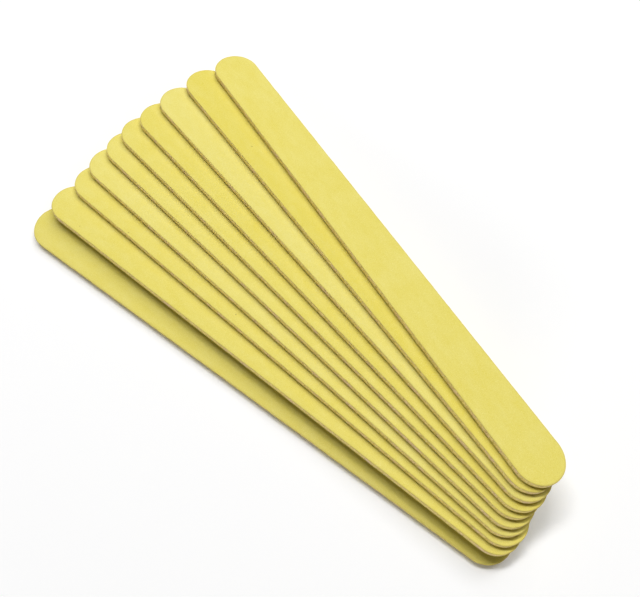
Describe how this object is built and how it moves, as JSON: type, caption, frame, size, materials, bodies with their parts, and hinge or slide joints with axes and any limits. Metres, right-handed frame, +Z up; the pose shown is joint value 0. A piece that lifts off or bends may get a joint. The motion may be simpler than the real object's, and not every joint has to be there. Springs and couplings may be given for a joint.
{
  "type": "emery board set",
  "caption": "Set of flat double-sided emery boards with round ends, loosely fanned out from one heaped end on a flat surface.",
  "frame": {"origin": "middle of the bottom board's underside, on the surface that the set rests on", "axes": "+X along the bottom board towards the heaped ends, +Y towards the open side of the fan, +Z up, away from the surface"},
  "size_m": [0.1782, 0.0978, 0.019],
  "materials": {
    "abrasive_paper": "matte, fine grit",
    "core": "raw cut edge"
  },
  "bodies": {
    "board_01": {"board_01_lower_paper": "abrasive_paper", "board_01_core": "core", "board_01_upper_paper": "abrasive_paper"},
    "board_02": {"board_02_lower_paper": "abrasive_paper", "board_02_core": "core", "board_02_upper_paper": "abrasive_paper"},
    "board_03": {"board_03_lower_paper": "abrasive_paper", "board_03_core": "core", "board_03_upper_paper": "abrasive_paper"},
    "board_04": {"board_04_lower_paper": "abrasive_paper", "board_04_core": "core", "board_04_upper_paper": "abrasive_paper"},
    "board_05": {"board_05_lower_paper": "abrasive_paper", "board_05_core": "core", "board_05_upper_paper": "abrasive_paper"},
    "board_06": {"board_06_lower_paper": "abrasive_paper", "board_06_core": "core", "board_06_upper_paper": "abrasive_paper"},
    "board_07": {"board_07_lower_paper": "abrasive_paper", "board_07_core": "core", "board_07_upper_paper": "abrasive_paper"},
    "board_08": {"board_08_lower_paper": "abrasive_paper", "board_08_core": "core", "board_08_upper_paper": "abrasive_paper"},
    "board_09": {"board_09_lower_paper": "abrasive_paper", "board_09_core": "core", "board_09_upper_paper": "abrasive_paper"},
    "board_10": {"board_10_lower_paper": "abrasive_paper", "board_10_core": "core", "board_10_upper_paper": "abrasive_paper"}
  },
  "joints": [
    {"name": "pile_lean", "type": "hinge", "parent": "board_01", "child": "board_02", "pos_m": [0.08125, 0.00775, 0.00198], "axis": [1, -0.0098, 0], "range_deg": [0, 13.09]},
    {"name": "board_03_turn", "type": "hinge", "parent": "board_02", "child": "board_03", "pos_m": [0.13233, 0.00239, 0.00525], "axis": [0.0022, 0.2265, 0.974], "range_deg": [0, 2.7]},
    {"name": "board_04_turn", "type": "hinge", "parent": "board_03", "child": "board_04", "pos_m": [0.13533, 0.0377, -0.00089], "axis": [0.0022, 0.2265, 0.974], "range_deg": [0, 2]},
    {"name": "board_05_turn", "type": "hinge", "parent": "board_04", "child": "board_05", "pos_m": [0.12698, 0.02196, 0.00488], "axis": [0.0022, 0.2265, 0.974], "range_deg": [0, 2.2]},
    {"name": "board_06_turn", "type": "hinge", "parent": "board_05", "child": "board_06", "pos_m": [0.15381, 0.02481, 0.00624], "axis": [0.0022, 0.2265, 0.974], "range_deg": [0, 1.7]},
    {"name": "board_07_turn", "type": "hinge", "parent": "board_06", "child": "board_07", "pos_m": [0.13141, 0.00882, 0.01209], "axis": [0.0022, 0.2265, 0.974], "range_deg": [0, 2.1]},
    {"name": "board_08_turn", "type": "hinge", "parent": "board_07", "child": "board_08", "pos_m": [0.13199, 0.02589, 0.0102], "axis": [0.0022, 0.2265, 0.974], "range_deg": [0, 2.4]},
    {"name": "board_09_turn", "type": "hinge", "parent": "board_08", "child": "board_09", "pos_m": [0.11267, 0.02895, 0.01162], "axis": [0.0022, 0.2265, 0.974], "range_deg": [0, 3.4]},
    {"name": "board_10_turn", "type": "hinge", "parent": "board_09", "child": "board_10", "pos_m": [0.1138, 0.00799, 0.01858], "axis": [0.0022, 0.2265, 0.974], "range_deg": [0, 3.3]}
  ]
}
